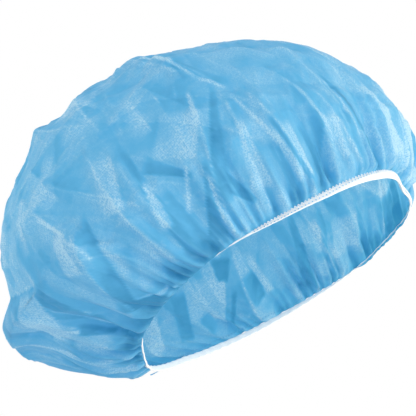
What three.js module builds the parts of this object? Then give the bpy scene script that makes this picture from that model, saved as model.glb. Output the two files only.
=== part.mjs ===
// Disposable bouffant hairnet: a gathered non-woven crown on a white elastic band.
// Millimetres, +Z up, as worn: the wearer faces -Y and +X is the wearer's left.
// The origin is the centre of the opening. The rim is tilted, its front edge up.
import * as THREE from 'three'

// Opening and elastic
const RIM_HALF_LENGTH = 100
const RIM_HALF_WIDTH = 84
const RIM_TILT_DEG = 30
const BAND_HEIGHT = 5
const BAND_THICKNESS = 1.2
const SEAM_GAP = 0.3

// Crown: how far it puffs out past the centre of the opening, and how high
const PUFF_FRONT = 125
const PUFF_BACK = 156
const PUFF_SIDE = 110
const CROWN_HEIGHT = 154
const CREST_SETBACK = 26
const FABRIC_WALL = 1.2

// Height of the widest ring above the rim, in front, at the sides and at the nape
const BELLY_FRONT = 42
const BELLY_SIDE = 50
const BELLY_BACK = 50

// Gathers along the elastic, and how far from it the seam holds the fabric flat
const PLEAT_PITCH = 17
const PLEAT_DEPTH = 4.4
const PLEAT_LENGTH = 58
const SEAM_REACH = 11

// Roundness of the outlines: 2 is an ellipse, more is squarer
const ROUNDNESS = {
  rimFront: 2.9,
  rimBack: 1.9,
  belly: 2.15,
  underside: 1.3,
  crestFront: 2.1,
  crestSide: 2.35,
  crestBack: 2.4
}

// Faces: columns in each pleat, rows from rim to crest, and how much closer the rows are at the rim
const COLUMNS_PER_PLEAT = 4
const ROWS = 16
const ROW_CROWDING = 1.25
const BAND_COLUMNS = 96

// An angle runs from the forehead round by the wearer's right ear, 90, and the nape, 180.
// A level runs up the crown from 0 at the rim, past BELLY_LEVEL at the widest ring, to 1 at the crest.
const BELLY_LEVEL = 0.26

// Broad swells of the crown. reach is in degrees, rise in levels, and out and up are shares of
// CROWN_HEIGHT.
const SWELLS = [
  // nape roll, over its outer edge and its underside
  { angle: 184, level: 0.26, reach: 26, rise: 0.08, out: 0.12, up: -0.05 },
  { angle: 175, level: 0.12, reach: 30, rise: 0.09, out: 0.00, up: -0.04 },
  // full part over the right side of the back
  { angle: 118, level: 0.76, reach: 50, rise: 0.20, out: 0.015, up: 0.05 },
  // rim drawn in before the left temple, and pushed out at the forehead
  { angle: 315, level: 0.00, reach: 16, rise: 0.20, out: -0.045, up: 0.00 },
  { angle: 345, level: 0.00, reach: 12, rise: 0.20, out: 0.03, up: 0.00 }
]

// Folds, each a straight ridge, or a hollow where its height is below 0. from and to are
// [angle, level], and start and end its height there. right and left are the reach of its slopes
// on either side, as seen from outside going from from to to. All four are shares of CROWN_HEIGHT.
const FOLDS = [
  // hollow between the puff and the nape roll
  { from: [200, 0.40], to: [150, 0.25], start: -0.020, end: -0.065, right: 0.10, left: 0.11 },
  { from: [150, 0.25], to: [157, 0.06], start: -0.055, end: -0.020, right: 0.07, left: 0.10 },
  // overhang of the puff above that hollow
  { from: [134, 0.40], to: [126, 0.24], start: 0.015, end: 0.035, right: 0.16, left: 0.06 },
  { from: [126, 0.24], to: [138, 0.08], start: 0.035, end: 0.020, right: 0.12, left: 0.06 },
  // corners of the outline over the back and the top
  { from: [134, 0.72], to: [110, 0.52], start: 0.040, end: 0.005, right: 0.12, left: 0.10 },
  { from: [111, 0.68], to: [108, 0.46], start: 0.018, end: 0.005, right: 0.09, left: 0.12 },
  { from: [87, 0.74], to: [76, 0.42], start: 0.028, end: 0.012, right: 0.12, left: 0.09 },
  { from: [36, 0.42], to: [44, 0.62], start: 0.020, end: 0.010, right: 0.14, left: 0.10 },
  // long folds that fan out from the right ear
  { from: [114, 0.42], to: [113, 0.10], start: 0.010, end: 0.035, right: 0.05, left: 0.10 },
  { from: [108, 0.34], to: [107, 0.03], start: 0.008, end: 0.030, right: 0.05, left: 0.06 },
  { from: [100, 0.26], to: [101, 0.04], start: -0.006, end: -0.030, right: 0.06, left: 0.05 },
  { from: [84, 0.40], to: [95, 0.06], start: 0.012, end: 0.030, right: 0.05, left: 0.06 },
  { from: [77, 0.34], to: [81, 0.06], start: 0.016, end: 0.028, right: 0.08, left: 0.04 },
  { from: [70, 0.30], to: [65, 0.03], start: 0.018, end: 0.032, right: 0.10, left: 0.05 },
  { from: [61, 0.26], to: [59, 0.03], start: -0.010, end: -0.022, right: 0.05, left: 0.06 },
  { from: [52, 0.28], to: [47, 0.03], start: 0.012, end: 0.026, right: 0.07, left: 0.05 },
  { from: [41, 0.30], to: [38, 0.03], start: -0.010, end: -0.024, right: 0.06, left: 0.06 },
  { from: [22, 0.28], to: [18, 0.04], start: 0.012, end: 0.026, right: 0.07, left: 0.08 },
  // nape gathers
  { from: [178, 0.26], to: [168, 0.04], start: 0.016, end: 0.020, right: 0.05, left: 0.06 },
  { from: [190, 0.24], to: [182, 0.04], start: -0.012, end: -0.024, right: 0.05, left: 0.06 },
  { from: [206, 0.28], to: [200, 0.04], start: 0.016, end: 0.026, right: 0.06, left: 0.08 },
  // left side
  { from: [238, 0.30], to: [225, 0.05], start: 0.016, end: 0.026, right: 0.07, left: 0.06 },
  { from: [255, 0.36], to: [252, 0.06], start: -0.014, end: -0.028, right: 0.09, left: 0.05 },
  { from: [266, 0.32], to: [260, 0.04], start: 0.022, end: 0.030, right: 0.05, left: 0.07 },
  { from: [276, 0.30], to: [278, 0.05], start: -0.010, end: -0.026, right: 0.05, left: 0.08 },
  { from: [291, 0.32], to: [292, 0.05], start: 0.014, end: 0.028, right: 0.07, left: 0.06 },
  { from: [300, 0.28], to: [306, 0.04], start: -0.010, end: -0.022, right: 0.06, left: 0.05 },
  { from: [322, 0.30], to: [314, 0.05], start: 0.016, end: 0.026, right: 0.06, left: 0.07 },
  { from: [340, 0.32], to: [344, 0.04], start: -0.012, end: -0.022, right: 0.08, left: 0.07 },
  // back, left flank and top
  { from: [215, 0.72], to: [206, 0.42], start: 0.026, end: 0.012, right: 0.12, left: 0.10 },
  { from: [178, 0.66], to: [170, 0.40], start: -0.022, end: -0.012, right: 0.11, left: 0.12 },
  { from: [252, 0.76], to: [238, 0.42], start: 0.022, end: 0.016, right: 0.12, left: 0.14 },
  { from: [292, 0.70], to: [276, 0.40], start: 0.026, end: 0.010, right: 0.14, left: 0.10 },
  { from: [330, 0.66], to: [316, 0.38], start: 0.020, end: 0.014, right: 0.12, left: 0.12 },
  { from: [356, 0.60], to: [4, 0.34], start: -0.014, end: -0.020, right: 0.12, left: 0.10 },
  { from: [60, 0.80], to: [150, 0.86], start: 0.012, end: 0.020, right: 0.12, left: 0.12 },
  { from: [240, 0.88], to: [320, 0.84], start: 0.018, end: -0.010, right: 0.12, left: 0.12 }
]

const DEG = Math.PI / 180
// Half the distance over which a slope is taken, in degrees and in levels
const SLOPE_TURN = 0.5
const SLOPE_RISE = 0.004
const WALL_START = BAND_HEIGHT + SEAM_GAP
const RIM_LENGTH = Math.PI * (RIM_HALF_LENGTH + RIM_HALF_WIDTH)
const PLEAT_COUNT = Math.round(RIM_LENGTH / PLEAT_PITCH)
const COLUMNS = PLEAT_COUNT * COLUMNS_PER_PLEAT
// A third of a turn's worth of uneven spacing makes some gathers tight and others loose.
const PLEAT_UNEVENNESS = 1 / 3

// Shortest way round from one angle to another, in degrees
function turnBetween(angle, other) {
  return ((angle - other + 540) % 360) - 180
}

// Point at an angle on an outline with its own reach in front, behind and to the sides
function outline(angle, front, back, side, frontRoundness, backRoundness) {
  const forward = Math.cos(angle * DEG)
  const right = Math.sin(angle * DEG)
  const power = forward > 0 ? frontRoundness : backRoundness
  const size = (Math.abs(forward) ** power + Math.abs(right) ** power) ** (-1 / power)
  const reach = forward > 0 ? front : back
  return new THREE.Vector2(-side * right * size, -reach * forward * size)
}

// Value that runs smoothly from the front by the side to the back
function around(angle, front, side, back) {
  const forward = Math.cos(angle * DEG)
  const end = forward > 0 ? front : back
  return side + (end - side) * forward ** 2
}

// Push of the swells at an angle and level
function swell(angle, level) {
  const push = new THREE.Vector3()
  const risen = THREE.MathUtils.smoothstep(level, 0, BELLY_LEVEL / 2)
  for (const s of SWELLS) {
    const away = (turnBetween(angle, s.angle) / s.reach) ** 2 + ((level - s.level) / s.rise) ** 2
    const weight = Math.exp(-away) * CROWN_HEIGHT
    push.x -= weight * s.out * Math.sin(angle * DEG)
    push.y -= weight * s.out * Math.cos(angle * DEG)
    push.z += weight * s.up * risen
  }
  return push
}

// Point on the smooth crown: a flaring underside up to the belly, and a dome above it
function formPoint(angle, level) {
  const rim = outline(
    angle, RIM_HALF_LENGTH, RIM_HALF_LENGTH, RIM_HALF_WIDTH, ROUNDNESS.rimFront, ROUNDNESS.rimBack
  )
  const belly = outline(
    angle, PUFF_FRONT, PUFF_BACK, PUFF_SIDE, ROUNDNESS.belly, ROUNDNESS.belly
  )
  const bellyHeight = around(angle, BELLY_FRONT, BELLY_SIDE, BELLY_BACK)
  const point = new THREE.Vector3()
  if (level < BELLY_LEVEL) {
    const turn = (level / BELLY_LEVEL) * (Math.PI / 2)
    const power = 2 / ROUNDNESS.underside
    const flat = rim.lerp(belly, Math.sin(turn) ** power)
    const climb = 1 - Math.max(Math.cos(turn), 0) ** power
    point.set(flat.x, flat.y, WALL_START + (bellyHeight - WALL_START) * climb)
  } else {
    const turn = ((level - BELLY_LEVEL) / (1 - BELLY_LEVEL)) * (Math.PI / 2)
    const power = 2 / around(
      angle, ROUNDNESS.crestFront, ROUNDNESS.crestSide, ROUNDNESS.crestBack
    )
    const crest = new THREE.Vector2(0, CREST_SETBACK)
    const flat = crest.lerp(belly, Math.max(Math.cos(turn), 0) ** power)
    point.set(flat.x, flat.y, bellyHeight + (CROWN_HEIGHT - bellyHeight) * Math.sin(turn) ** power)
  }
  return point.add(swell(angle, level))
}

// Outward normal of a surface given as a function of angle and level
function normalAt(surface, angle, level) {
  const high = Math.min(level + SLOPE_RISE, 1 - SLOPE_RISE)
  const low = Math.min(Math.max(level - SLOPE_RISE, 0), high - SLOPE_RISE)
  const across = surface(angle + SLOPE_TURN, level).sub(surface(angle - SLOPE_TURN, level))
  const upward = surface(angle, high).sub(surface(angle, low))
  return upward.cross(across).normalize()
}

// Folds as lines of points on the smooth crown, worked out once
const FOLD_STEPS = 8
const foldLines = FOLDS.map((fold) => {
  const points = []
  const sweep = turnBetween(fold.to[0], fold.from[0])
  for (let i = 0; i <= FOLD_STEPS; i += 1) {
    const share = i / FOLD_STEPS
    const level = fold.from[1] + (fold.to[1] - fold.from[1]) * share
    points.push(formPoint(fold.from[0] + sweep * share, level))
  }
  return { fold, points }
})

// Height that the folds add at a point of the smooth crown with its normal
function foldHeight(point, normal) {
  let height = 0
  const nearest = new THREE.Vector3()
  for (const { fold, points } of foldLines) {
    let best = Infinity
    let crestHeight = 0
    let isLeft = false
    for (let i = 0; i < FOLD_STEPS; i += 1) {
      const segment = new THREE.Line3(points[i], points[i + 1])
      const share = segment.closestPointToPointParameter(point, true)
      segment.at(share, nearest)
      const distance = nearest.distanceTo(point)
      if (distance < best) {
        best = distance
        crestHeight = fold.start + (fold.end - fold.start) * ((i + share) / FOLD_STEPS)
        const along = points[i + 1].clone().sub(points[i])
        isLeft = along.cross(point.clone().sub(nearest)).dot(normal) > 0
      }
    }
    const reach = (isLeft ? fold.left : fold.right) * CROWN_HEIGHT
    height += crestHeight * CROWN_HEIGHT * Math.max(1 - best / reach, 0)
  }
  return height
}

// Height of the gathers, which start at the elastic and run out above the belly
function pleatHeight(angle, climb) {
  const drift = PLEAT_UNEVENNESS * Math.sin(3 * angle * DEG + 1) * Math.sin(7 * angle * DEG)
  const wave = Math.cos(PLEAT_COUNT * angle * DEG + 2 * Math.PI * drift)
  const size = 0.7 + 0.3 * Math.sin(5 * angle * DEG + 2)
  const fading = Math.max(1 - climb / PLEAT_LENGTH, 0) ** 1.5
  return PLEAT_DEPTH * size * fading * wave
}

// Point on the outside of the crown with its folds and gathers
function crownPoint(angle, level) {
  const point = formPoint(angle, level)
  const normal = normalAt(formPoint, angle, level)
  const climb = point.distanceTo(formPoint(angle, 0))
  const freedom = THREE.MathUtils.smoothstep(climb, 0, SEAM_REACH)
  const height = (foldHeight(point, normal) + pleatHeight(angle, climb)) * freedom
  return point.addScaledVector(normal, height)
}

// Direction into the opening at an angle of the rim, level with the rim
function inwardAtRim(angle) {
  const along = formPoint(angle + SLOPE_TURN, 0).sub(formPoint(angle - SLOPE_TURN, 0)).normalize()
  return new THREE.Vector3(along.y, -along.x, 0)
}

// Geometry from points and triangles
function geometryFrom(points, triangles) {
  const geometry = new THREE.BufferGeometry().setFromPoints(points)
  geometry.setIndex(triangles)
  geometry.computeVertexNormals()
  return geometry
}

// Triangles of one skin, a fan of rows and columns that ends at the crest
function skinTriangles() {
  const triangles = []
  const at = (row, column) => row * COLUMNS + (column % COLUMNS)
  const crest = ROWS * COLUMNS
  for (let column = 0; column < COLUMNS; column += 1) {
    for (let row = 0; row < ROWS - 1; row += 1) {
      triangles.push(at(row, column), at(row + 1, column), at(row, column + 1))
      triangles.push(at(row, column + 1), at(row + 1, column), at(row + 1, column + 1))
    }
    triangles.push(at(ROWS - 1, column), crest, at(ROWS - 1, column + 1))
  }
  return triangles
}

// The crown: an outer and an inner skin, a wall apart and joined at the rim edge
function crownGeometry() {
  const outer = []
  for (let row = 0; row < ROWS; row += 1) {
    const level = (row / ROWS) ** ROW_CROWDING
    for (let column = 0; column < COLUMNS; column += 1) {
      outer.push(crownPoint((360 * column) / COLUMNS, level))
    }
  }
  outer.push(crownPoint(0, 1))
  const triangles = skinTriangles()
  const normals = geometryFrom(outer, triangles).getAttribute('normal')
  const inner = outer.map((point, i) => {
    const inward = new THREE.Vector3().fromBufferAttribute(normals, i).negate()
    if (i < COLUMNS) {
      inward.copy(inwardAtRim((360 * i) / COLUMNS))
    }
    return point.clone().addScaledVector(inward, FABRIC_WALL)
  })
  const size = outer.length
  const reversed = triangles.map((corner) => corner + size).reverse()
  const edge = []
  for (let column = 0; column < COLUMNS; column += 1) {
    const next = (column + 1) % COLUMNS
    edge.push(column, next, column + size, column + size, next, next + size)
  }
  return geometryFrom([...outer, ...inner], [...triangles, ...reversed, ...edge])
}

// The elastic: a flat ring standing under the edge of the crown
function bandGeometry() {
  const points = []
  const triangles = []
  const corners = [
    { depth: 0, height: 0 },
    { depth: 0, height: BAND_HEIGHT },
    { depth: BAND_THICKNESS, height: BAND_HEIGHT },
    { depth: BAND_THICKNESS, height: 0 }
  ]
  for (let column = 0; column < BAND_COLUMNS; column += 1) {
    const angle = (360 * column) / BAND_COLUMNS
    const inward = inwardAtRim(angle)
    for (const corner of corners) {
      points.push(formPoint(angle, 0).addScaledVector(inward, corner.depth).setZ(corner.height))
    }
  }
  const at = (column, corner) => (column % BAND_COLUMNS) * corners.length + (corner % corners.length)
  for (let column = 0; column < BAND_COLUMNS; column += 1) {
    for (let corner = 0; corner < corners.length; corner += 1) {
      const low = at(column, corner)
      const high = at(column, corner + 1)
      const lowNext = at(column + 1, corner)
      const highNext = at(column + 1, corner + 1)
      triangles.push(low, high, lowNext, lowNext, high, highNext)
    }
  }
  return geometryFrom(points, triangles)
}

function piece(name, geometry, color, roughness) {
  const mesh = new THREE.Mesh(
    geometry, new THREE.MeshStandardMaterial({ color, roughness, metalness: 0 })
  )
  mesh.name = name
  return mesh
}

const hairnet = new THREE.Group()
hairnet.add(piece('crown', crownGeometry(), 0x70bae4, 0.85))
hairnet.add(piece('elastic_band', bandGeometry(), 0xf4f8fa, 0.9))
hairnet.rotation.x = -RIM_TILT_DEG * DEG

export default hairnet
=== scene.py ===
"""Looks of a disposable bouffant hairnet: its fabric, elastic and thread, and a plain stage."""
import math

import bpy
import numpy as np
from mathutils import Matrix, Vector


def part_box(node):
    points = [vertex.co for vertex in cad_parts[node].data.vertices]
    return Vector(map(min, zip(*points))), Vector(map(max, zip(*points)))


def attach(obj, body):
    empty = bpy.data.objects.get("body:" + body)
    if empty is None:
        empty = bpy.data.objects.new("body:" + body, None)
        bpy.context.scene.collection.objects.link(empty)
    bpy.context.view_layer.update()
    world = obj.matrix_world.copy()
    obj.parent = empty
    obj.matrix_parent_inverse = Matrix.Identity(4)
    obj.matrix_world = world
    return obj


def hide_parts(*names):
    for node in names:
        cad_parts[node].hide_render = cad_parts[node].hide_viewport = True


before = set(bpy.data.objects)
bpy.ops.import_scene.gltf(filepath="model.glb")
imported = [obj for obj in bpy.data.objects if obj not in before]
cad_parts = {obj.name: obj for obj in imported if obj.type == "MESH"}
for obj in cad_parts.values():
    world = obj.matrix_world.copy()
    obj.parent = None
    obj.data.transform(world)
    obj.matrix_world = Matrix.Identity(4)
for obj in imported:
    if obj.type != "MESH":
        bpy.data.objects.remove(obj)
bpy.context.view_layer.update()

bl_info = {
    "name": "Disposable hairnet",
    "version": (1, 0, 0),
    "blender": (4, 5, 0),
    "location": "3D View > Sidebar > Hairnet",
    "description": "Builds the gathered fabric, the elastic and its stitching, and a plain stage",
    "category": "Object",
}

MM = 0.001
BAND_LOW, BAND_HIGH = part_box("elastic_band")

# An angle runs from the forehead round by the wearer's right ear, 90, and the nape, 180.
# A level runs up the crown from 0 at the rim, past BELLY_LEVEL at the widest ring, to 1 at the
# crest. Both are worked out in the frame of the rim, whose axis points up out of the crest.
BELLY_LEVEL = 0.26

# Roundness of the outlines: 2 is an ellipse, more is squarer
RIM_FRONT_ROUNDNESS = 2.9
RIM_BACK_ROUNDNESS = 1.9
BELLY_ROUNDNESS = 2.15
UNDERSIDE_ROUNDNESS = 1.3
CREST_FRONT_ROUNDNESS = 2.1
CREST_SIDE_ROUNDNESS = 2.35
CREST_BACK_ROUNDNESS = 2.4

# Broad swells: angle, level, reach in degrees, rise in levels, out and up as shares of the height
SWELLS = (
    (184, 0.26, 26, 0.08, 0.12, -0.015),
    (175, 0.12, 30, 0.09, 0.00, -0.04),
    (118, 0.76, 50, 0.20, 0.015, 0.05),
    (315, 0.00, 16, 0.20, -0.045, 0.00),
    (345, 0.00, 12, 0.20, 0.03, 0.00),
    (152, 0.12, 13, 0.06, -0.045, 0.03),
    (175, 0.19, 18, 0.05, -0.05, 0.02),
    (184, 0.24, 14, 0.05, -0.055, 0.02),
    (202, 0.20, 9, 0.05, 0.0, -0.025),
)

# Main folds, most of them close to the solid's: from angle and level, to angle and level, height
# at either end, and the reach of the slopes on the right and on the left, as seen from outside
# going from the first end to the second. The last four are shares of the crown's height.
FOLDS = (
    # hollow between the puff and the nape roll, softer than the solid's
    (200, 0.44, 150, 0.28, -0.016, -0.044, 0.12, 0.13),
    (150, 0.28, 157, 0.06, -0.010, -0.032, 0.08, 0.10),
    # overhang of the puff above that hollow
    (134, 0.40, 126, 0.24, 0.015, 0.035, 0.16, 0.06),
    (126, 0.24, 138, 0.08, 0.035, 0.020, 0.12, 0.06),
    # corners of the outline over the back and the top
    (134, 0.72, 110, 0.52, 0.030, 0.005, 0.14, 0.12),
    (113, 0.70, 108, 0.46, 0.034, 0.005, 0.12, 0.16),
    (87, 0.74, 76, 0.42, 0.028, 0.012, 0.12, 0.09),
    (36, 0.42, 44, 0.62, 0.020, 0.010, 0.14, 0.10),
    # long folds that fan out from the right ear
    (114, 0.42, 113, 0.10, 0.010, 0.035, 0.05, 0.10),
    (108, 0.34, 107, 0.03, 0.008, 0.030, 0.05, 0.06),
    (100, 0.26, 101, 0.04, -0.006, -0.030, 0.06, 0.05),
    (84, 0.40, 95, 0.06, 0.012, 0.030, 0.05, 0.06),
    (77, 0.34, 81, 0.06, 0.016, 0.028, 0.08, 0.04),
    (70, 0.30, 65, 0.03, 0.018, 0.032, 0.10, 0.05),
    (61, 0.26, 59, 0.03, -0.010, -0.022, 0.05, 0.06),
    (52, 0.28, 47, 0.03, 0.012, 0.026, 0.07, 0.05),
    (41, 0.30, 38, 0.03, -0.010, -0.024, 0.06, 0.06),
    (22, 0.28, 18, 0.04, 0.012, 0.026, 0.07, 0.08),
    # nape gathers
    (178, 0.26, 168, 0.04, 0.016, 0.020, 0.05, 0.06),
    (190, 0.24, 182, 0.04, -0.012, -0.024, 0.05, 0.06),
    (206, 0.28, 200, 0.04, 0.012, 0.012, 0.06, 0.08),
    # left side
    (238, 0.30, 225, 0.05, 0.016, 0.026, 0.07, 0.06),
    (255, 0.36, 252, 0.06, -0.014, -0.028, 0.09, 0.05),
    (266, 0.32, 260, 0.04, 0.022, 0.030, 0.05, 0.07),
    (276, 0.30, 278, 0.05, -0.010, -0.026, 0.05, 0.08),
    (291, 0.32, 292, 0.05, 0.014, 0.028, 0.07, 0.06),
    (300, 0.28, 306, 0.04, -0.010, -0.022, 0.06, 0.05),
    (322, 0.30, 314, 0.05, 0.016, 0.026, 0.06, 0.07),
    (340, 0.32, 344, 0.04, -0.012, -0.022, 0.08, 0.07),
    # back, left flank and top
    (215, 0.72, 206, 0.42, 0.026, 0.012, 0.12, 0.10),
    (178, 0.66, 170, 0.40, -0.022, -0.012, 0.11, 0.12),
    (252, 0.76, 238, 0.42, 0.022, 0.016, 0.12, 0.14),
    (292, 0.70, 276, 0.40, 0.026, 0.010, 0.14, 0.10),
    (330, 0.66, 316, 0.38, 0.020, 0.014, 0.12, 0.12),
    (356, 0.60, 4, 0.34, -0.014, -0.020, 0.12, 0.10),
    (60, 0.80, 150, 0.86, 0.012, 0.020, 0.12, 0.12),
    (240, 0.88, 320, 0.84, 0.018, -0.010, 0.12, 0.12),
)

# Gathers at the elastic, coarse to fine: pitch, depth, how far they run up, share of unevenness
GATHERS = (
    (17.0 * MM, 5.2 * MM, 96 * MM, 0.33),
    (10.6 * MM, 4.8 * MM, 78 * MM, 0.75),
    (6.8 * MM, 3.6 * MM, 48 * MM, 0.70),
    (4.9 * MM, 2.0 * MM, 26 * MM, 0.60),
)

# Gathers sway along their length, are nearly pointed (1 would be), vary in size from place to
# place, and die out up the crown by this power
GATHER_SWAY = 1.4
GATHER_POINT = 0.98
GATHER_SIZE = (0.65, 0.35)
GATHER_FADING = 1.3

# Chance folds: how many, range of half the length in levels, how far they lean in degrees, and
# ranges of the height, the reach of the one slope and of the other, all three in shares of the
# crown's height, and of the levels that they lie at
CRUMPLES = (
    # long creases that run up from the gathers
    (90, (0.10, 0.20), 5, (0.005, 0.014), (0.02, 0.04), (0.05, 0.09), (0.06, 0.42)),
    # broad facets over the dome
    (90, (0.05, 0.16), 30, (0.005, 0.012), (0.03, 0.06), (0.08, 0.16), (0.25, 0.97)),
    # fine crinkles all over
    (760, (0.02, 0.07), 22, (0.002, 0.006), (0.012, 0.03), (0.02, 0.05), (0.03, 0.98)),
)

# Panels between the main creases. The fabric is deeper blue where it lies in two layers and
# paler where it lies open and its fibres catch the light; deep panels also carry painted shade
# and pale ones painted highlights, where facets turn from the light or to it. From angle and
# level, to angle and level, width at either end, and tone on its right and on its left: -1 is
# deep and 1 is pale.
CREASE_WIDTH = 2.2 * MM
PANELS = (
    # right side, above the ear
    (76, 0.42, 93, 0.12, 3 * MM, 12 * MM, -0.9, -0.5),
    (104, 0.31, 95, 0.20, 12 * MM, 2 * MM, -0.9, -0.6),
    (106, 0.42, 109, 0.06, 2 * MM, 9 * MM, -0.6, -0.7),
    (77, 0.29, 81, 0.10, 4 * MM, 14 * MM, 0.4, 0.8),
    (91, 0.18, 84, 0.09, 13 * MM, 3 * MM, -0.9, -0.9),
    (90, 0.24, 101, 0.05, 4 * MM, 13 * MM, -1.0, -0.5),
    (68, 0.23, 67, 0.08, 14 * MM, 10 * MM, 0.6, 1.0),
    (70, 0.27, 65, 0.04, 3 * MM, 3 * MM, -0.8, -0.8),
    (53, 0.21, 52, 0.09, 10 * MM, 5 * MM, 0.3, 0.8),
    (45, 0.36, 39, 0.02, 1.5 * MM, 8 * MM, -0.9, -0.6),
    (62, 0.20, 60, 0.06, 4 * MM, 4 * MM, -0.7, -0.5),
    (89, 0.39, 97, 0.27, 26 * MM, 28 * MM, 0.3, 0.7),
    (105, 0.28, 108, 0.14, 3 * MM, 8 * MM, 1.0, 0.2),
    (95, 0.25, 102, 0.14, 2.2 * MM, 2.2 * MM, 0.9, 0.9),
    # behind the ear
    (111, 0.40, 115, 0.23, 14 * MM, 15 * MM, 0.3, 0.9),
    (130, 0.30, 134, 0.19, 9 * MM, 12 * MM, 0.5, 1.0),
    (121, 0.31, 139, 0.08, 3 * MM, 14 * MM, -0.3, -0.8),
    (115, 0.17, 126, 0.07, 13 * MM, 17 * MM, 0.2, 0.5),
    (124, 0.55, 135, 0.40, 9 * MM, 9 * MM, 0.3, 0.5),
    # hollow above the nape, deep with painted shade, and the nape roll
    (149, 0.27, 153, 0.06, 14 * MM, 7 * MM, -1.0, -0.8),
    (152, 0.30, 168, 0.16, 18 * MM, 20 * MM, 0.8, 0.7),
    (159, 0.15, 157, 0.08, 7 * MM, 1 * MM, -0.9, -0.7),
    (134, 0.09, 121, 0.02, 2 * MM, 2 * MM, 0.8, 0.8),
    (140, 0.11, 128, 0.02, 8 * MM, 7 * MM, -0.9, -0.9),
    (166, 0.09, 160, 0.01, 5 * MM, 3 * MM, -0.6, 0.2),
    (167, 0.15, 166, 0.06, 5 * MM, 3 * MM, 0.4, 0.6),
    # top
    (86, 0.61, 73, 0.39, 6 * MM, 6 * MM, -0.6, -0.2),
    (124, 0.69, 116, 0.66, 9 * MM, 9 * MM, 0.6, 0.5),
    (58, 0.43, 53, 0.33, 10 * MM, 14 * MM, -0.3, -0.1),
    # painted highlight: the front is paler where the light at the wearer's front falls on it
    (30, 0.32, 23, 0.07, 14 * MM, 12 * MM, 0.9, 1.4),
    (18, 0.34, 12, 0.04, 18 * MM, 14 * MM, 0.8, 1.3),
    (6, 0.34, 358, 0.03, 22 * MM, 18 * MM, 1.3, 1.5),
    # thin creases
    *((*ends, CREASE_WIDTH, CREASE_WIDTH, tone, tone) for *ends, tone in (
        (84, 0.43, 87, 0.33, 0.9),
        (86, 0.72, 79, 0.45, 0.8),
        (79, 0.45, 74, 0.38, 0.7),
        (134, 0.38, 127, 0.27, 0.9),
        (126, 0.27, 127, 0.19, 0.7),
        (75, 0.36, 70, 0.16, 0.8),
        (161, 0.17, 159, 0.14, 1.0),
        (166, 0.12, 163, 0.09, 1.0),
        (92, 0.20, 96, 0.08, 0.7),
        (57, 0.34, 54, 0.14, 0.7),
        (46, 0.34, 44, 0.12, 0.6),
    )),
    # left side
    (258, 0.32, 251, 0.13, 25 * MM, 6 * MM, 0.9, 0.5),
    (263, 0.34, 260, 0.27, 15 * MM, 6 * MM, -0.9, -0.7),
    (267, 0.27, 265, 0.14, 14 * MM, 9 * MM, -0.9, -0.5),
    (269, 0.31, 269, 0.14, 5 * MM, 5 * MM, 0.9, 0.5),
    (288, 0.36, 280, 0.06, 3 * MM, 11 * MM, -0.9, -0.5),
    (292, 0.29, 289, 0.17, 8 * MM, 5 * MM, 0.8, 0.4),
    (323, 0.20, 325, 0.03, 27 * MM, 17 * MM, -1.0, -0.8),
    (303, 0.24, 298, 0.12, 22 * MM, 23 * MM, 0.6, 0.5),
    (239, 0.29, 230, 0.14, 10 * MM, 9 * MM, 0.8, 0.4),
    (249, 0.32, 238, 0.12, 10 * MM, 9 * MM, -0.8, -0.5),
    (262, 0.24, 251, 0.09, 3 * MM, 3 * MM, -0.9, -0.6),
)

# A panel fades in and out over these shares of its length, and ends where the crown turns this
# far from it, as a cosine
PANEL_FADE_IN = 0.2
PANEL_FADE_OUT = 0.12
PANEL_FACING = 0.4

# Chance panels: ranges of level and of half the length in levels, how far they lean in degrees,
# and ranges of tone and of width
PANEL_LEVELS = (0.05, 0.95)
PANEL_HALVES = (0.04, 0.14)
PANEL_LEAN = 9
PANEL_TONES = (0.2, 0.75)
PANEL_WIDTHS_MM = (3, 22)

# The seam round the rim: angle, how much of the elastic's height shows below the fabric (less
# than 0 where the fabric hangs past it), how far the elastic lies inward of the fabric's edge,
# and how far the rim sags
SEAM = (
    (0, 5.0 * MM, 0, 1 * MM), (20, 5.0 * MM, 0, 3 * MM), (40, 5.0 * MM, 0, 6 * MM),
    (62, 3.8 * MM, 0, 6.5 * MM), (80, 2.3 * MM, 0, 4.5 * MM), (94, 1.0 * MM, 0, 2 * MM),
    (101, -0.8 * MM, 0.9 * MM, 0.7 * MM), (120, -2.2 * MM, 1.4 * MM, 0),
    (160, -3.0 * MM, 1.4 * MM, 0), (174, -2.0 * MM, 1.2 * MM, 5 * MM),
    (181, 1.2 * MM, 0, 9 * MM), (189, 4.2 * MM, 0, 10 * MM),
    (202, 4.4 * MM, 0, 7 * MM), (218, 4.4 * MM, 0, 3 * MM), (238, 4.2 * MM, 0, 1 * MM),
    (262, 3.4 * MM, 0, 0), (285, 2.0 * MM, 0, 0), (298, 0.5 * MM, -0.6 * MM, 0),
    (306, -2.6 * MM, -2.6 * MM, 0), (332, -2.6 * MM, -2.6 * MM, 0), (342, 1.0 * MM, -0.4 * MM, 0),
    (348, 3.0 * MM, 0, 0), (356, 5.0 * MM, 0, 0),
)

# Height of the elastic where the fabric covers it
HIDDEN_BAND = 0.8 * MM

# On the wearer's left side the fabric lies flat for further above the elastic: the middle of
# that side, degrees from it where this begins and where it is full, and how much further
LEFT_ANGLE = 270
LEFT_FADE = (100, 75)
LEFT_EXTRA = 1.5

# Rounds that even out the normals, so that deep folds don't cross at the belly
EASING_ROUNDS = 14

# Crowding of the crown's rows towards the rim
ROW_CROWDING = 1.25

# Share of the folds and gathers that is left at the very hem
HEM_SHARE = 0.1

# Steps that the line of a main fold and of a chance fold is followed in
FOLD_STEPS = 8
CRUMPLE_STEPS = 2

# How the fabric's tone follows its folds: painted shade on one slope, painted light on the
# other, and the palest, a painted highlight, along the crest
FOLD_SLOPE_TONE = -10
CRUMPLE_SLOPE_TONE = -16
FOLD_CREST_TONE = 0.6
CRUMPLE_CREST_TONE = 0.9

# Gathers near the seam, with painted light on their ridges and painted shade in their hollows:
# how far up, in seam reaches, height for a tone of 1, and the most tone
GATHER_TONE_REACH = 3
GATHER_TONE_DEPTH = 6 * MM
GATHER_TONE_LIMIT = 0.6
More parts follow.
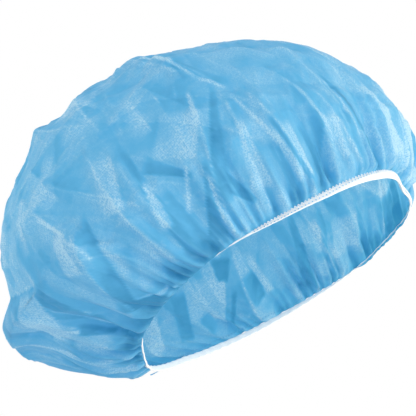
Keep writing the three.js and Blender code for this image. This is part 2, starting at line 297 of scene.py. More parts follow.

# Painted shade along the hem, deeper and further up where the fabric hangs past the elastic.
# Where this begins and where it is full goes by how much of the elastic shows.
HEM_TONE = -0.4
OVERHANG_TONE = -0.8
OVERHANG_REACH = 1.3
OVERHANG_FADE = (0.5 * MM, -2 * MM)

# The elastic: points along it and round its section, how square that is (1 is an ellipse), and
# how high and how many its puckers are
BAND_COLUMNS = 900
BAND_SECTION = 18
BAND_SQUARENESS = 0.45
BAND_PUCKER = 0.25 * MM
BAND_PUCKERS = 83

# The overlock thread: points in a stitch, sides of the thread, how much of the elastic shows
# where stitches begin and where they are full, and how they weave over the seam
STITCH_SAMPLES = 8
THREAD_SIDES = 6
STITCH_FADE = (0.6 * MM, 2.0 * MM)
STITCH_REST = 0.35 * MM
STITCH_REACH = 0.7 * MM
STITCH_HIDDEN = 0.6 * MM
STITCH_DROP = 0.5 * MM
STITCH_SWING = 0.8 * MM

# Tufts between the stitches: half sizes along, up and out, and how far out they stand
TUFT_HALF = (0.55 * MM, 0.5 * MM, 0.4 * MM)
TUFT_OUT = 0.6 * MM

# The lights: place to the right, up and towards the camera in metres, and size
LIGHTS = {
    "key": (0.8, 0.9, 0.9, 0.6),
    "front": (0.0, -0.5, 1.2, 1.0),
    "side": (1.1, -0.2, 0.3, 0.6),
}
FLOOR_SIZE = 8.0

# Where the cove's bright side begins and where it is full, as cosines
COVE_EDGE = (0.35, 0.93)

# The photo's width, its scale, and the centre of the opening in it
PHOTO_WIDTH_PX = 416
PIXEL_SIZE = 0.645 * MM
OPENING_PX = (272.0, 273.5)

# The fabric's bond points lie 1.4 mm apart, in rows and columns on the flat disc
BOND_SCALE = 2 * math.pi / (1.4 * math.sqrt(2) * MM)


def outline(angle, front, back, side, front_roundness, back_roundness):
    """Points at these angles on an outline with its own reach in front, behind and sideways."""
    forward = np.cos(np.radians(angle))
    right = np.sin(np.radians(angle))
    power = np.where(forward > 0, front_roundness, back_roundness)
    size = (np.abs(forward) ** power + np.abs(right) ** power) ** (-1 / power)
    reach = np.where(forward > 0, front, back)
    return np.stack([-side * right * size, -reach * forward * size], -1)


def around(angle, front, side, back):
    """A value that runs smoothly from the front by the side to the back."""
    forward = np.cos(np.radians(angle))
    return side + (np.where(forward > 0, front, back) - side) * forward ** 2


def turn_between(angle, other):
    """The shortest way round from one angle to another, in degrees."""
    return (angle - other + 180) % 360 - 180


def smoothstep(value, low, high):
    """0 up to low and 1 from high on, with a smooth rise between; low may be the larger."""
    share = np.clip((value - low) / (high - low), 0, 1)
    return share * share * (3 - 2 * share)


def seam(angle):
    """The band's shown height, its inset and the sag of the rim at these angles."""
    angles, *columns = zip(*SEAM)
    return [np.interp(angle % 360, angles, column, period=360) for column in columns]


def form_points(angle, level, shape):
    """Points of the smooth crown: a flaring underside up to the belly, and a dome above it."""
    angle, level = np.broadcast_arrays(np.asarray(angle, float), np.asarray(level, float))
    rim = outline(
        angle, shape.rim_half_length, shape.rim_half_length, shape.rim_half_width,
        RIM_FRONT_ROUNDNESS, RIM_BACK_ROUNDNESS,
    )
    belly = outline(
        angle, shape.puff_front, shape.puff_back, shape.puff_side,
        BELLY_ROUNDNESS, BELLY_ROUNDNESS,
    )
    belly_height = around(angle, shape.belly_front, shape.belly_side, shape.belly_back)
    shown, _, sag = seam(angle)
    start = shown + shape.seam_gap - sag
    below = np.clip(level / BELLY_LEVEL, 0, 1) * math.pi / 2
    above = np.clip((level - BELLY_LEVEL) / (1 - BELLY_LEVEL), 0, 1) * math.pi / 2
    under_power = 2 / UNDERSIDE_ROUNDNESS
    over_power = 2 / around(
        angle, CREST_FRONT_ROUNDNESS, CREST_SIDE_ROUNDNESS, CREST_BACK_ROUNDNESS
    )
    spread = (np.sin(below) ** under_power)[..., None]
    climb = 1 - np.clip(np.cos(below), 0, 1) ** under_power
    shrink = (np.clip(np.cos(above), 0, 1) ** over_power)[..., None]
    rise = np.sin(above) ** over_power
    crest = np.array([0.0, shape.crest_setback])
    under = level < BELLY_LEVEL
    flat = np.where(
        under[..., None], rim + (belly - rim) * spread, crest + (belly - crest) * shrink
    )
    height = np.where(
        under,
        start + (belly_height - start) * climb,
        belly_height + (shape.crown_height - belly_height) * rise,
    )
    points = np.concatenate([flat, height[..., None]], -1)
    settled = smoothstep(level, 0, BELLY_LEVEL / 2)
    for at_angle, at_level, reach, swell_rise, out, up in SWELLS:
        away = (turn_between(angle, at_angle) / reach) ** 2
        away = away + ((level - at_level) / swell_rise) ** 2
        weight = np.exp(-away) * shape.crown_height
        points[..., 0] -= weight * out * np.sin(np.radians(angle))
        points[..., 1] -= weight * out * np.cos(np.radians(angle))
        points[..., 2] += weight * up * settled
    return points


def grid_normals(points):
    """Outward normals of a grid of rows and columns whose columns close on themselves."""
    across = np.roll(points, -1, 1) - np.roll(points, 1, 1)
    upward = np.gradient(points, axis=0)
    normals = np.cross(upward, across)
    return normals / np.maximum(np.linalg.norm(normals, axis=-1, keepdims=True), 1e-12)


def eased_normals(points, rounds):
    """Normals of a closed grid, evened out from row to row so that deep folds don't cross."""
    normals = grid_normals(points)
    for _ in range(rounds):
        normals[1:-1] += (normals[:-2] + normals[2:]) / 2
        normals[0] = normals[1]
        normals /= np.linalg.norm(normals, axis=-1, keepdims=True)
    return normals


def fold_heights(points, normals, folds, shape, steps):
    """Height that folds add over the smooth crown, which side of them it is, and their glints."""
    flat_points = points.reshape(-1, 3)
    flat_normals = normals.reshape(-1, 3)
    height = np.zeros(len(flat_points))
    slant = np.zeros(len(flat_points))
    glint = np.zeros(len(flat_points))
    for from_angle, from_level, to_angle, to_level, start, end, right, left in folds:
        share = np.linspace(0, 1, steps + 1)
        angles = from_angle + turn_between(to_angle, from_angle) * share
        line = form_points(angles, from_level + (to_level - from_level) * share, shape)
        reach = max(right, left) * shape.crown_height
        centre = line.mean(0)
        radius = np.linalg.norm(line - centre, axis=1).max() + reach
        near = np.flatnonzero(((flat_points - centre) ** 2).sum(1) < radius ** 2)
        if not len(near):
            continue
        spot = flat_points[near]
        best = np.full(len(near), np.inf)
        crest = np.zeros(len(near))
        side = np.zeros(len(near))
        for i in range(steps):
            along = line[i + 1] - line[i]
            part = np.clip(((spot - line[i]) @ along) / (along @ along), 0, 1)
            away = spot - (line[i] + part[:, None] * along)
            distance = np.linalg.norm(away, axis=1)
            closer = distance < best
            best = np.where(closer, distance, best)
            crest = np.where(closer, start + (end - start) * (i + part) / steps, crest)
            turned = (np.cross(along, away) * flat_normals[near]).sum(1)
            side = np.where(closer, turned, side)
        slope = np.where(side > 0, left, right) * shape.crown_height
        rise = np.clip(1 - best / slope, 0, None)
        height[near] += crest * shape.crown_height * rise
        slant[near] += crest * np.where(side > 0, 1, -1) * rise
        ridge = np.clip(crest / shape.glint_height, 0, 1)
        glint[near] = np.maximum(glint[near], ridge * np.exp(-(best / shape.glint_width) ** 2))
    return [values.reshape(points.shape[:-1]) for values in (height, slant, glint)]


def gather_heights(angle, climb, shape):
    """Height of the gathers that start at the elastic and run out further up."""
    rim_length = math.pi * (shape.rim_half_length + shape.rim_half_width)
    height = np.zeros(np.broadcast(angle, climb).shape)
    turn = np.radians(angle)
    for order, (pitch, depth, length, unevenness) in enumerate(GATHERS):
        count = round(rim_length / pitch)
        drift = unevenness * (
            np.sin(3 * turn + 1 + 2 * order) * np.sin(7 * turn + order)
            + 0.6 * np.sin(13 * turn + 5 * order)
        )
        sway = GATHER_SWAY * np.sin(5 * turn + 2 * order) * climb / length
        wave = np.cos(count * turn + 2 * math.pi * drift + sway)
        crisp = np.arcsin(GATHER_POINT * wave) / (math.pi / 2)
        usual, spread = GATHER_SIZE
        size = usual + spread * np.sin(5 * turn + 2 + 3 * order) * np.sin(11 * turn + order)
        fading = np.clip(1 - climb / length, 0, 1) ** GATHER_FADING
        height += depth * size * fading * crisp
    return height


def chance_line(rng, levels, halves, lean):
    """From angle and level, to angle and level, at random. The lean is wider near the crest."""
    level = rng.uniform(*levels)
    angle = rng.uniform(0, 360)
    half = rng.uniform(*halves)
    sweep = rng.normal(0, lean) * min(1 / max(1 - level, 0.2), 4) / 2
    return angle, min(level + half, 0.99), angle + sweep, max(level - half, 0.01)


def crumple_rows(shape):
    """Chance folds all over the crown, as rows like those of FOLDS."""
    rng = np.random.default_rng(shape.crumple_seed)
    rows = []
    for count, halves, lean, tall, steep, gentle, levels in CRUMPLES:
        for _ in range(round(count * shape.crumpling)):
            line = chance_line(rng, levels, halves, lean)
            height = rng.choice((-1, 1)) * rng.uniform(*tall)
            slopes = [rng.uniform(*steep), rng.uniform(*gentle)]
            rng.shuffle(slopes)
            rows.append((*line, height * rng.uniform(0.2, 1.0), height, *slopes))
    return rows


def chance_panels(shape):
    """Panels all over the crown, each with one sharp edge, as rows like those of PANELS."""
    rng = np.random.default_rng(shape.crumple_seed + 1)
    rows = []
    for _ in range(shape.panels):
        line = chance_line(rng, PANEL_LEVELS, PANEL_HALVES, PANEL_LEAN)
        tones = [rng.choice((-1, 1)) * rng.uniform(*PANEL_TONES), 0]
        rng.shuffle(tones)
        widths = rng.uniform(*PANEL_WIDTHS_MM, 2) * MM
        rows.append((*line, *widths, *tones))
    return rows


def panel_tones(points, normals, rows, shape):
    """Tone of the panels, -1 deep to 1 pale, over points of the smooth crown."""
    spots = points.reshape(-1, 3)
    facing = normals.reshape(-1, 3)
    tones = np.zeros(len(spots))
    for from_angle, from_level, to_angle, to_level, wide, wide_end, right, left in rows:
        start, end = form_points(
            np.array([from_angle, to_angle]), np.array([from_level, to_level]), shape
        )
        length = np.linalg.norm(end - start)
        along = (end - start) / length
        middle = np.argmin(((spots - (start + end) / 2) ** 2).sum(1))
        across = np.cross(along, facing[middle])
        across /= np.linalg.norm(across)
        away = spots - start
        run = away @ along / length
        offset = away @ across
        half = (wide + (wide_end - wide) * np.clip(run, 0, 1)) / 2
        share = np.clip(0.5 - offset / np.maximum(half, 0.1 * MM) / 2, 0, 1)
        cover = smoothstep(half - np.abs(offset), -shape.panel_edge / 2, shape.panel_edge / 2)
        cover *= smoothstep(run, 0, PANEL_FADE_IN) * smoothstep(1 - run, 0, PANEL_FADE_OUT)
        cover *= facing @ facing[middle] > PANEL_FACING
        tones += (right + (left - right) * share - tones) * cover
    return tones.reshape(points.shape[:-1])


def tilt_matrix(shape):
    """Turns the rim's frame into the row's: the front of the rim tips up."""
    return Matrix.Rotation(-shape.rim_tilt, 4, "X")


def make_object(name, vertices, faces, shape):
    """A smooth-shaded object from points and faces in the rim's frame."""
    mesh = bpy.data.meshes.new(name)
    mesh.from_pydata([tuple(v) for v in vertices], [], [tuple(f) for f in faces])
    mesh.transform(tilt_matrix(shape))
    mesh.update()
    for polygon in mesh.polygons:
        polygon.use_smooth = True
    made = bpy.data.objects.new(name, mesh)
    bpy.context.scene.collection.objects.link(made)
    return made


def ring_faces(rows, columns, is_closed):
    """Quads of a grid whose columns close on themselves, and its rows too if is_closed."""
    last = rows if is_closed else rows - 1
    row, column = np.meshgrid(np.arange(last), np.arange(columns), indexing="ij")
    above = (row + 1) % rows
    beside = (column + 1) % columns
    return np.stack([
        row * columns + column, above * columns + column,
        above * columns + beside, row * columns + beside,
    ], -1).reshape(-1, 4)


def linear(tint):
    """An sRGB hex colour as linear red, green, blue and alpha."""
    parts = [int(tint[i:i + 2], 16) / 255 for i in (1, 3, 5)]
    parts = [p / 12.92 if p <= 0.04045 else ((p + 0.055) / 1.055) ** 2.4 for p in parts]
    return (*parts, 1.0)


def add_node(tree, kind, settings=None, inputs=None, links=None):
    """Adds a node with its settings, its input values and what feeds its inputs."""
    node = tree.nodes.new(kind)
    for key, value in (settings or {}).items():
        setattr(node, key, value)
    for key, value in (inputs or {}).items():
        node.inputs[key].default_value = value
    for key, source in (links or {}).items():
        tree.links.new(source, node.inputs[key])
    return node


def math_node(tree, operation, *sources, clamp=False):
    """The output of a math node that these sources feed."""
    return add_node(
        tree, "ShaderNodeMath", {"operation": operation, "use_clamp": clamp}, {},
        dict(enumerate(sources)),
    ).outputs[0]


def remap(tree, source, old, new, settings=None):
    """The output of a node that maps one range of the source onto another."""
    return add_node(
        tree, "ShaderNodeMapRange", settings,
        {"From Min": old[0], "From Max": old[1], "To Min": new[0], "To Max": new[1]},
        {"Value": source},
    ).outputs[0]


def new_material(name):
    """A material with an empty node tree."""
    material = bpy.data.materials.new(name)
    material.use_nodes = True
    material.node_tree.nodes.clear()
    return material


def spunbond_polypropylene(colours):
    """Thin spunbond polypropylene: matt with a faint sheen, and light comes through it.

    Fine fibres and small bond points speckle it. It is paler where fibres bunch and deeper blue
    where it lies in two layers. Its tone attribute also carries painted light: pale painted
    highlights and sheen, and deep blue painted shade.
    """
    material = new_material("spunbond_polypropylene")
    tree = material.node_tree
    flat = add_node(tree, "ShaderNodeUVMap", {"uv_map": "blank"})
    fibres = add_node(
        tree, "ShaderNodeTexNoise", {"noise_dimensions": "2D"},
        {"Scale": 1 / (1.6 * MM), "Detail": 5.0, "Roughness": 0.75, "Distortion": 0.2},
        {"Vector": flat.outputs[0]},
    )
    webs = add_node(
        tree, "ShaderNodeTexNoise", {"noise_dimensions": "2D"},
        {"Scale": 1 / (30 * MM), "Detail": 6.0, "Roughness": 0.6, "Distortion": 0.1},
        {"Vector": flat.outputs[0]},
    )
    # Bond points: a lattice of dots, pressed clear by the calender
    turned = add_node(
        tree, "ShaderNodeMapping", {},
        {"Rotation": (0, 0, math.pi / 4), "Scale": (BOND_SCALE, BOND_SCALE, 1)},
        {"Vector": flat.outputs[0]},
    )
    parts = add_node(tree, "ShaderNodeSeparateXYZ", {}, {}, {0: turned.outputs[0]})
    waves = [math_node(tree, "SINE", parts.outputs[axis]) for axis in ("X", "Y")]
    lattice = math_node(tree, "MULTIPLY", *waves)
    bonds = remap(tree, lattice, (0.15, 0.7), (1.0, 0.6))
    tone = add_node(tree, "ShaderNodeAttribute", {"attribute_name": "tone"})
    clouded = remap(tree, webs.outputs["Fac"], (0.3, 0.7), (-0.1, 0.42))
    total = math_node(tree, "ADD", tone.outputs["Fac"], clouded)
    grain = remap(tree, fibres.outputs["Fac"], (0.34, 0.66), (0.2, 1.1))
    speckle = math_node(tree, "MULTIPLY", grain, bonds)
    # Pale colour where fibres bunch and where the tone holds painted sheen and highlights
    pale_fibres_and_sheen = math_node(tree, "MULTIPLY", total, speckle, clamp=True)
    colour = add_node(
        tree, "ShaderNodeMix", {"data_type": "RGBA"},
        {6: linear(colours.fabric), 7: linear(colours.pale_fibres_and_sheen)}, {0: pale_fibres_and_sheen},
    )
    # Deep blue where the fabric lies in two layers and where the tone holds painted shade
    layers_and_shade = add_node(
        tree, "ShaderNodeMath", {"operation": "MULTIPLY", "use_clamp": True}, {1: -0.9},
        {0: total},
    )
    deep = add_node(
        tree, "ShaderNodeMix", {"data_type": "RGBA"},
        {7: linear(colours.doubled_and_shade)}, {0: layers_and_shade.outputs[0], 6: colour.outputs[2]},
    )
    bump = add_node(
        tree, "ShaderNodeBump", {}, {"Strength": 0.8, "Distance": 0.35 * MM},
        {"Height": fibres.outputs["Fac"]},
    )
    body = add_node(
        tree, "ShaderNodeBsdfPrincipled", {},
        {"Roughness": 0.55, "Sheen Weight": 0.2, "Sheen Roughness": 0.4, "IOR": 1.49},
        {"Base Color": deep.outputs[2], "Normal": bump.outputs[0]},
    )
    through = add_node(
        tree, "ShaderNodeBsdfTranslucent", {}, {},
        {"Color": deep.outputs[2], "Normal": bump.outputs[0]},
    )
    mixed = add_node(
        tree, "ShaderNodeMixShader", {}, {0: 0.47}, {1: body.outputs[0], 2: through.outputs[0]}
    )
    add_node(tree, "ShaderNodeOutputMaterial", {}, {}, {"Surface": mixed.outputs[0]})
    return material


def speckled_material(name, grain, detail, tints, finish, bump=None):
    """A matt material that wavers between two tints at the size of its grain."""
    material = new_material(name)
    tree = material.node_tree
    place = add_node(tree, "ShaderNodeTexCoord")
    specks = add_node(
        tree, "ShaderNodeTexNoise", {}, {"Scale": 1 / grain, "Detail": detail},
        {"Vector": place.outputs["Object"]},
    )
    colour = add_node(
        tree, "ShaderNodeMix", {"data_type": "RGBA"},
        {6: linear(tints[0]), 7: linear(tints[1])}, {0: specks.outputs["Fac"]},
    )
    links = {"Base Color": colour.outputs[2]}
    if bump:
        relief = add_node(
            tree, "ShaderNodeBump", {}, {"Strength": 0.5, "Distance": bump},
            {"Height": specks.outputs["Fac"]},
        )
        links["Normal"] = relief.outputs[0]
    body = add_node(tree, "ShaderNodeBsdfPrincipled", {}, finish, links)
    add_node(tree, "ShaderNodeOutputMaterial", {}, {}, {"Surface": body.outputs[0]})
    return material


def knitted_elastic(colours):
    """White knitted elastic: soft and matt, flecked and roughened by the loops of its knit."""
    return speckled_material(
        "knitted_elastic", 0.9 * MM, 2.0, (colours.elastic, colours.elastic_shade),
        {"Roughness": 0.85, "Sheen Weight": 0.2}, 0.3 * MM,
    )


def polyester_thread(colours):
    """White overlock thread: twisted polyester, a little brighter than the elastic."""
    return speckled_material(
        "polyester_thread", 0.4 * MM, 1.0, (colours.thread, colours.elastic_shade),
        {"Roughness": 0.6, "Sheen Weight": 0.1},
    )


def matt_paper(colours):
    """Matt white studio paper with the faint unevenness of its pulp."""
    return speckled_material(
        "matt_paper", 40 * MM, 2.0, (colours.floor, colours.floor_shade), {"Roughness": 0.95}
    )


def length(name, description, default):
    """A setting in metres."""
    return bpy.props.FloatProperty(
        name=name, description=description, default=default, unit="LENGTH"
    )


def hex_colour(name, description, default):
    """A setting that holds an sRGB colour as hex."""
    return bpy.props.StringProperty(name=name, description=description, default=default)


class HairnetShape(bpy.types.PropertyGroup):
    rim_half_length: length(
        "Rim half length", "Centre of the opening to its front or back edge", 100 * MM
    )
    rim_half_width: length(
        "Rim half width", "Centre of the opening to its side edge", (BAND_HIGH[0] - BAND_LOW[0]) / 2
    )
    rim_tilt: bpy.props.FloatProperty(
        name="Rim tilt", description="How far the front of the rim tips up",
        default=math.radians(30), subtype="ANGLE",
    )
    puff_front: length("Puff in front", "Reach of the crown in front of the centre", 125 * MM)
    puff_back: length("Puff behind", "Reach of the crown behind the centre", 156 * MM)
    puff_side: length("Puff to the side", "Reach of the crown to either side", 110 * MM)
    crown_height: length("Crown height", "Height of the crest above the rim", 154 * MM)
    crest_setback: length("Crest setback", "How far the crest lies behind the centre", 26 * MM)
    belly_front: length("Belly in front", "Height of the widest ring in front", 42 * MM)
    belly_side: length("Belly at the side", "Height of the widest ring at the sides", 50 * MM)
    belly_back: length("Belly behind", "Height of the widest ring behind", 50 * MM)
    seam_gap: length("Seam gap", "Gap between the elastic and the fabric", 0.3 * MM)
    seam_reach: length(
        "Seam reach", "How far from the elastic the seam holds the fabric flat", 11 * MM
    )
    band_thickness: length("Elastic thickness", "Thickness of the elastic", 1.2 * MM)
    stitch_pitch: length("Stitch pitch", "Distance from one overlock stitch to the next", 2.1 * MM)
    thread_radius: length("Thread radius", "Radius of the overlock thread", 0.26 * MM)
    blank_size: length("Blank size", "Diameter of the flat disc of fabric", 533 * MM)
    hem_reach: length("Hem reach", "How far from the elastic the gathers reach full depth", 6 * MM)
    glint_height: bpy.props.FloatProperty(
        name="Glint height", description="Share of the crown's height at which a fold is brightest",
        default=0.02, min=0.001,
    )
    glint_width: length("Glint width", "Half width of the pale line along a fold", 0.9 * MM)
    panel_edge: length(
        "Panel edge", "Width over which one panel's tone turns into the next", 1.3 * MM
    )
    panels: bpy.props.IntProperty(
        name="Panels", description="Number of chance panels", default=110, min=0,
    )
    crumpling: bpy.props.FloatProperty(
        name="Crumpling", description="Share of the chance folds that are made",
        default=1.0, min=0, max=4,
    )
    crumple_seed: bpy.props.IntProperty(
        name="Crumple seed", description="Which set of chance folds is made", default=7, min=0,
    )
    columns: bpy.props.IntProperty(
        name="Columns", description="Faces round the crown", default=660, min=60,
    )
    rows: bpy.props.IntProperty(
        name="Rows", description="Faces from the rim to the crest", default=150, min=20,
    )


class HairnetColours(bpy.types.PropertyGroup):
    fabric: hex_colour("Fabric", "sRGB colour of one layer of the fabric", "#67BFE6")
    # Pale colour of bunched fibres, also used for painted sheen and highlights
    pale_fibres_and_sheen: hex_colour("Frost", "sRGB colour where loose fibres make the fabric pale", "#CBEDFA")
    # Deep blue of two layers, also used for painted shade
    doubled_and_shade: hex_colour("Doubled", "sRGB colour where the fabric lies in two layers", "#3E9BC6")
    elastic: hex_colour("Elastic", "sRGB colour of the elastic", "#E9EEF1")
    elastic_shade: hex_colour("Elastic shade", "sRGB colour between the elastic's loops", "#D3DEE5")
    thread: hex_colour("Thread", "sRGB colour of the overlock thread", "#EEF3F5")
    floor: hex_colour("Floor", "sRGB colour of the floor", "#E9EAEB")
    floor_shade: hex_colour("Floor shade", "sRGB colour of the floor's darker specks", "#E4E5E7")


class HairnetStage(bpy.types.PropertyGroup):
    azimuth: bpy.props.FloatProperty(
        name="Camera azimuth", description="Turn of the camera round the hairnet",
        default=math.radians(-80), subtype="ANGLE",
    )
    elevation: bpy.props.FloatProperty(
        name="Camera elevation", description="Height angle of the camera",
        default=math.radians(-20.8), subtype="ANGLE",
    )
    distance: length("Camera distance", "Camera to the hairnet", 1.5)
    frame_width: length(
        "Frame width", "Width of the view at the hairnet", PHOTO_WIDTH_PX * PIXEL_SIZE
    )
    fill: bpy.props.FloatProperty(
        name="Fill", description="Brightness of the cove away from its bright side",
        default=0.9, min=0,
    )
    key_power: bpy.props.FloatProperty(
        name="Key power", description="Power of the key light in watts", default=5.0, min=0,
    )
    front_power: bpy.props.FloatProperty(
        name="Front power", description="Power of the front light in watts",
        default=14.0, min=0,
    )
    side_power: bpy.props.FloatProperty(
        name="Side power", description="Power in watts of the light at the wearer's front",
        default=10.0, min=0,
    )
    side_tint: hex_colour("Side tint", "Colour of that light as sRGB hex", "#FFE8CC")
    floor_drop: length("Floor drop", "How far the floor lies below the opening", 0.66)


class HAIRNET_OT_crown(bpy.types.Operator):
    """Build the gathered fabric crown"""

    bl_idname = "hairnet.crown"
    bl_label = "Crown fabric"

    def execute(self, context):
        shape = context.scene.hairnet_shape
        rows, columns = shape.rows, shape.columns
        level = ((np.arange(rows) / rows) ** ROW_CROWDING)[:, None]
        angle = (np.arange(columns) * 360 / columns)[None, :]
        smooth = form_points(angle, level, shape)
        normals = eased_normals(smooth, EASING_ROUNDS)
        climb = np.linalg.norm(smooth - smooth[:1], axis=-1)
        height, slant, glint = fold_heights(smooth, normals, FOLDS, shape, FOLD_STEPS)
        small, small_slant, small_glint = fold_heights(
            smooth, normals, crumple_rows(shape), shape, CRUMPLE_STEPS
        )
        gathers = gather_heights(angle, climb, shape)
        height = height * smoothstep(climb, 0, shape.seam_reach) + small + gathers
        left_side = smoothstep(np.abs(turn_between(angle, LEFT_ANGLE)), *LEFT_FADE)
        hem_reach = shape.hem_reach * (1 + LEFT_EXTRA * left_side)
        height *= HEM_SHARE + (1 - HEM_SHARE) * smoothstep(climb, 0, hem_reach)
        points = smooth + normals * height[..., None]
        crest = form_points(0.0, 1.0, shape)
        vertices = np.concatenate([points.reshape(-1, 3), crest[None]])
        quads = ring_faces(rows, columns, False).tolist()
        last = (rows - 1) * columns
        fan = [(last + i, len(vertices) - 1, last + (i + 1) % columns) for i in range(columns)]
        crown = make_object("crown_fabric", vertices, quads + fan, shape)
        self.lay_flat(crown, smooth, angle, shape)
        # Tone: deep where the fabric lies in two layers and where painted shade falls, pale where
        # fibres bunch and where painted light falls
        tone = panel_tones(smooth, normals, chance_panels(shape) + list(PANELS), shape)
        # Painted shade on one slope of each fold, painted light on the other and painted highlights
        # along the crests
        tone += FOLD_SLOPE_TONE * slant + CRUMPLE_SLOPE_TONE * small_slant
        tone += FOLD_CREST_TONE * glint + CRUMPLE_CREST_TONE * small_glint
        # Painted light on the ridges of the gathers near the seam, painted shade in their hollows
        near_seam = smoothstep(climb, shape.seam_reach * GATHER_TONE_REACH, 0)
        gathered = np.clip(gathers / GATHER_TONE_DEPTH, -GATHER_TONE_LIMIT, GATHER_TONE_LIMIT)
        tone += near_seam * gathered
        # Painted shade near the hem, deeper and further up where the fabric hangs past the elastic
        overhang = smoothstep(seam(angle)[0], *OVERHANG_FADE)
        shaded = shape.seam_reach * (1 + OVERHANG_REACH * overhang)
        tone += (HEM_TONE + OVERHANG_TONE * overhang) * smoothstep(climb / shaded, 1, 0)
        layer = crown.data.attributes.new("tone", "FLOAT", "POINT")
        layer.data.foreach_set("value", np.append(tone.ravel(), tone[-1].mean()))
        crown.data.materials.append(spunbond_polypropylene(context.scene.hairnet_colours))
        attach(crown, "root")
        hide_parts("crown")
        return {"FINISHED"}

    @staticmethod
    def lay_flat(crown, smooth, angle, shape):
        """Gives each point its place on the flat disc that the crown is cut from."""
        steps = np.linalg.norm(np.diff(smooth, axis=0), axis=-1)
        runs = np.cumsum(steps[::-1], 0)[::-1]
        from_crest = np.concatenate([runs, np.zeros((1, smooth.shape[1]))])
        turn = np.radians(angle)
        flat = np.stack([from_crest * np.sin(turn), from_crest * np.cos(turn)], -1).reshape(-1, 2)
        flat = np.concatenate([flat, [[0.0, 0.0]]])
        layer = crown.data.uv_layers.new(name="blank")
        corners = np.empty(len(crown.data.loops), dtype=int)
        crown.data.loops.foreach_get("vertex_index", corners)
        layer.data.foreach_set("uv", flat[corners].ravel())


class HAIRNET_OT_elastic(bpy.types.Operator):
    """Build the white elastic round the rim"""

    bl_idname = "hairnet.elastic"
    bl_label = "Elastic"

    def execute(self, context):
        shape = context.scene.hairnet_shape
        angle = np.arange(BAND_COLUMNS) * 360 / BAND_COLUMNS
        rim = form_points(angle, 0.0, shape)
        along = np.roll(rim, -1, 0) - np.roll(rim, 1, 0)
        inward = np.stack([along[:, 1], -along[:, 0], np.zeros(BAND_COLUMNS)], -1)
        inward /= np.linalg.norm(inward, axis=1, keepdims=True)
        shown, inset, sag = seam(angle)
        tall = np.maximum(shown, HIDDEN_BAND)
        turn = np.radians(angle)
        pucker = BAND_PUCKER * np.sin(BAND_PUCKERS * turn + 2 * np.sin(5 * turn))
        section = np.linspace(0, 2 * math.pi, BAND_SECTION, endpoint=False)
        rings = []
        for step in section:
            across = np.sign(math.cos(step)) * abs(math.cos(step)) ** BAND_SQUARENESS
            upright = np.sign(math.sin(step)) * abs(math.sin(step)) ** BAND_SQUARENESS
            depth = shape.band_thickness * (0.5 + 0.5 * across) + pucker * 0.5 + inset
            ring = rim + inward * depth[:, None]
            ring[:, 2] = tall * (0.5 + 0.5 * upright) + pucker * 0.4 - sag
            rings.append(ring)
        vertices = np.concatenate(rings)
        faces = ring_faces(BAND_SECTION, BAND_COLUMNS, True)
        band = make_object("elastic", vertices, faces[:, ::-1], shape)
        band.data.materials.append(knitted_elastic(context.scene.hairnet_colours))
        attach(band, "root")
        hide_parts("elastic_band")
        return {"FINISHED"}


class HAIRNET_OT_stitching(bpy.types.Operator):
    """Build the overlock stitches along the seam"""

    bl_idname = "hairnet.stitching"
    bl_label = "Overlock stitching"

    def execute(self, context):
        shape = context.scene.hairnet_shape
        rim_length = math.pi * (shape.rim_half_length + shape.rim_half_width)
        stitches = round(rim_length / shape.stitch_pitch)
        points = np.arange(stitches * STITCH_SAMPLES)
        angle = points * 360 / len(points)
        phase = (points % STITCH_SAMPLES) / STITCH_SAMPLES * 2 * math.pi
        rim = form_points(angle, 0.0, shape)
        along = np.roll(rim, -1, 0) - np.roll(rim, 1, 0)
        outward = np.stack([-along[:, 1], along[:, 0], np.zeros(len(angle))], -1)
        outward /= np.linalg.norm(outward, axis=1, keepdims=True)
        shown, inset, sag = seam(angle)
        shows = smoothstep(shown, *STITCH_FADE)
        tall = np.maximum(shown, HIDDEN_BAND) - sag
        over = 0.5 + 0.5 * np.cos(phase)
        out = shows * (STITCH_REST + STITCH_REACH * over) - (1 - shows) * STITCH_HIDDEN - inset
        path = rim + outward * out[:, None]
        path[:, 2] = tall - STITCH_DROP + shows * STITCH_SWING * (2 * over - 1)
        tangent = np.roll(path, -1, 0) - np.roll(path, 1, 0)
        tangent /= np.linalg.norm(tangent, axis=1, keepdims=True)
        side = np.cross(tangent, outward)
        side /= np.linalg.norm(side, axis=1, keepdims=True)
        lift = np.cross(side, tangent)
        rings = []
        for step in range(THREAD_SIDES):
            turn = 2 * math.pi * step / THREAD_SIDES
            spoke = math.cos(turn) * side + math.sin(turn) * lift
            rings.append(path + shape.thread_radius * spoke)
        faces = ring_faces(THREAD_SIDES, len(angle), True)
        thread = make_object("overlock_thread", np.concatenate(rings), faces, shape)
        thread.data.materials.append(polyester_thread(context.scene.hairnet_colours))
        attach(thread, "root")
        self.add_puckers(context, rim, outward, tall, shows)
        return {"FINISHED"}

    @staticmethod
    def add_puckers(context, rim, outward, top, shows):
        """Small tufts of fabric that bulge out between the stitches."""
        shape = context.scene.hairnet_shape
        upright = np.array([0.0, 0.0, 1.0])
        vertices, faces = [], []
        for i in range(STITCH_SAMPLES // 2, len(rim), STITCH_SAMPLES):
            if shows[i] < 0.5:
                continue
            along = np.cross(upright, outward[i])
            centre = rim[i] + outward[i] * TUFT_OUT + upright * top[i]
            first = len(vertices)
            for axis, size in zip((along, upright, outward[i]), TUFT_HALF):
                vertices += [centre - axis * size, centre + axis * size]
            for a, b, c in ((0, 2, 4), (2, 1, 4), (1, 3, 4), (3, 0, 4)):
                faces.append((first + a, first + b, first + c + 1))
                faces.append((first + b, first + a, first + c))
        puckers = make_object("seam_puckers", vertices, faces, shape)
        puckers.data.materials.append(bpy.data.materials["spunbond_polypropylene"])
        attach(puckers, "root")


